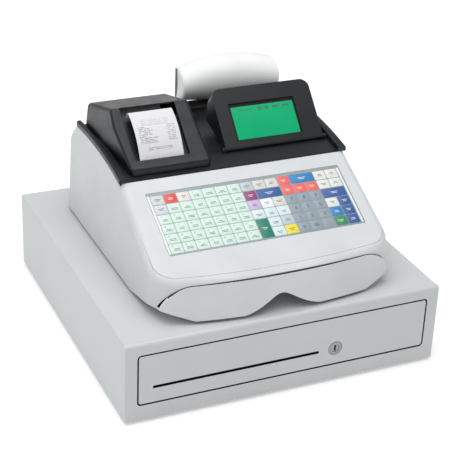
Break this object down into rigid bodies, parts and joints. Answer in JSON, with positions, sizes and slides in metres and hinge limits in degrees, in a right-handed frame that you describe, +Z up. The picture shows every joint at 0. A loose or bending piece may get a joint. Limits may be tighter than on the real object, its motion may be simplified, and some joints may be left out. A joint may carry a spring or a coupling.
{
  "type": "cash register",
  "caption": "Electronic cash register with a receipt printer, flat keyboard, tilting operator display and swivelling customer display, standing on a steel cash drawer.",
  "frame": {"origin": "centre of the cabinet's footprint, on the surface that it stands on", "axes": "+Z up, -Y towards the operator (drawer front), +X to the operator's right"},
  "size_m": [0.41, 0.415, 0.301],
  "materials": {
    "cabinet_paint": "grey powder-coated steel, fine orange peel",
    "cabinet_top": "pale grey powder-coated steel",
    "case_white": "moulded grey-white ABS, fine texture",
    "console_black": "moulded black ABS, satin gloss",
    "key_film": "printed polyester keyboard film",
    "board_green": "glass-fibre circuit board",
    "steel": "zinc-plated steel sheet",
    "chrome": "nickel-plated brass",
    "rubber": "moulded rubber",
    "nylon": "natural acetal",
    "tray_black": "moulded black polystyrene",
    "paper": "thermal paper, stated as matt plastic",
    "lcd": "liquid crystal glass with a green backlight",
    "lens": "smoked acrylic window",
    "copper": "wound and lacquered copper wire"
  },
  "bodies": {
    "cabinet_and_register": {"cabinet_shell": "cabinet_top", "front_frame": "cabinet_paint", "base_plate": "steel", "back_plate": "cabinet_top", "cabinet_feet": "rubber", "cabinet_runners": "steel", "front_studs": "steel", "latch_bracket": "steel", "solenoid": "copper", "ejector": "steel", "register_feet": "rubber", "lower_case": "case_white", "front_skirt": "case_white", "upper_case": "case_white", "keyboard_plate": "case_white", "keyboard_sheet": "key_film", "keyboard_board": "board_green", "main_board": "board_green", "transformer": "copper", "socket_panel": "console_black", "console_cover": "console_black", "printer_frame": "steel", "thermal_head": "nylon", "printer_motor": "steel", "paper_web": "paper", "post_base": "console_black"},
    "drawer": {"drawer_rails": "steel", "rear_studs": "steel", "striker": "steel", "drawer_pan": "steel", "drawer_front": "cabinet_paint", "lock_body": "chrome", "tray_tub": "tray_black", "tray_dividers": "tray_black", "cross_walls": "tray_black", "clip_rod": "steel"},
    "front_rollers": {"front_rollers": "nylon"},
    "rear_rollers": {"rear_rollers": "nylon"},
    "lock_plug": {"lock_plug": "chrome"},
    "note_clip_1": {"note_clip_1": "tray_black"},
    "note_clip_2": {"note_clip_2": "tray_black"},
    "note_clip_3": {"note_clip_3": "tray_black"},
    "note_clip_4": {"note_clip_4": "tray_black"},
    "latch_hook": {"latch_hook": "steel"},
    "solenoid_plunger": {"solenoid_plunger": "steel"},
    "printer_cover": {"printer_cover": "console_black", "tear_bar": "steel", "paper_strip": "paper"},
    "platen": {"platen_roller": "rubber", "platen_gear": "nylon"},
    "idler_gear": {"idler_gear": "nylon"},
    "motor_pinion": {"motor_pinion": "steel"},
    "paper_roll": {"paper_roll": "paper"},
    "operator_display": {"display_housing": "console_black", "display_back": "console_black", "display_glass": "lcd"},
    "customer_display": {"head_stem": "case_white", "head_shell": "case_white", "head_bezel": "console_black", "head_lens": "lens"}
  },
  "joints": [
    {"name": "drawer_slide", "type": "slide", "parent": "cabinet_and_register", "child": "drawer", "axis": [0, -1, 0], "range_m": [0, 0.3]},
    {"name": "front_roller_spin", "type": "hinge", "parent": "cabinet_and_register", "child": "front_rollers", "pos_m": [0, -0.1845, 0.058], "axis": [1, 0, 0], "continuous": true},
    {"name": "rear_roller_spin", "type": "hinge", "parent": "drawer", "child": "rear_rollers", "pos_m": [0, 0.1485, 0.058], "axis": [1, 0, 0], "continuous": true},
    {"name": "lock_turn", "type": "hinge", "parent": "drawer", "child": "lock_plug", "pos_m": [0.065, -0.2, 0.0475], "axis": [0, -1, 0], "range_deg": [0, 90]},
    {"name": "latch_swing", "type": "hinge", "parent": "cabinet_and_register", "child": "latch_hook", "pos_m": [0, 0.1865, 0.062], "axis": [1, 0, 0], "range_deg": [0, 18]},
    {"name": "plunger_slide", "type": "slide", "parent": "cabinet_and_register", "child": "solenoid_plunger", "axis": [0, 0, 1], "range_m": [0, 0.0025]},
    {"name": "printer_cover_hinge", "type": "hinge", "parent": "cabinet_and_register", "child": "printer_cover", "pos_m": [-0.087, 0.113, 0.2412], "axis": [-1, 0, 0], "range_deg": [0, 70]},
    {"name": "platen_spin", "type": "hinge", "parent": "cabinet_and_register", "child": "platen", "pos_m": [-0.0905, 0.033, 0.262], "axis": [1, 0, 0], "continuous": true},
    {"name": "idler_spin", "type": "hinge", "parent": "cabinet_and_register", "child": "idler_gear", "pos_m": [-0.0555, 0.03772, 0.24437], "axis": [1, 0, 0], "continuous": true},
    {"name": "pinion_spin", "type": "hinge", "parent": "cabinet_and_register", "child": "motor_pinion", "pos_m": [-0.0555, 0.05093, 0.23675], "axis": [1, 0, 0], "continuous": true},
    {"name": "roll_spin", "type": "hinge", "parent": "cabinet_and_register", "child": "paper_roll", "pos_m": [-0.0905, 0.07, 0.248], "axis": [1, 0, 0], "continuous": true},
    {"name": "operator_display_tilt", "type": "hinge", "parent": "cabinet_and_register", "child": "operator_display", "pos_m": [0.067, -0.0085, 0.2357], "axis": [1, 0, 0], "range_deg": [0, 32]},
    {"name": "customer_display_swivel", "type": "hinge", "parent": "cabinet_and_register", "child": "customer_display", "pos_m": [0.064, 0.136, 0.24], "axis": [0, 0, 1], "range_deg": [-90, 90]},
    {"name": "note_clip_1_lift", "type": "hinge", "parent": "drawer", "child": "note_clip_1", "pos_m": [-0.13035, 0.1499, 0.078], "axis": [-1, 0, 0], "range_deg": [0, 28]},
    {"name": "note_clip_2_lift", "type": "hinge", "parent": "drawer", "child": "note_clip_2", "pos_m": [-0.04345, 0.1499, 0.078], "axis": [-1, 0, 0], "range_deg": [0, 28]},
    {"name": "note_clip_3_lift", "type": "hinge", "parent": "drawer", "child": "note_clip_3", "pos_m": [0.04345, 0.1499, 0.078], "axis": [-1, 0, 0], "range_deg": [0, 28]},
    {"name": "note_clip_4_lift", "type": "hinge", "parent": "drawer", "child": "note_clip_4", "pos_m": [0.13035, 0.1499, 0.078], "axis": [-1, 0, 0], "range_deg": [0, 28]}
  ],
  "couplings": [
    {"joint": "front_roller_spin", "follows": "drawer_slide", "rad_per_m": 125},
    {"joint": "rear_roller_spin", "follows": "drawer_slide", "rad_per_m": 125},
    {"joint": "plunger_slide", "follows": "latch_swing", "m_per_rad": 0.007},
    {"joint": "idler_spin", "follows": "platen_spin", "ratio": -0.8},
    {"joint": "pinion_spin", "follows": "platen_spin", "ratio": 1.6},
    {"joint": "roll_spin", "follows": "platen_spin", "ratio": 0.21724}
  ]
}
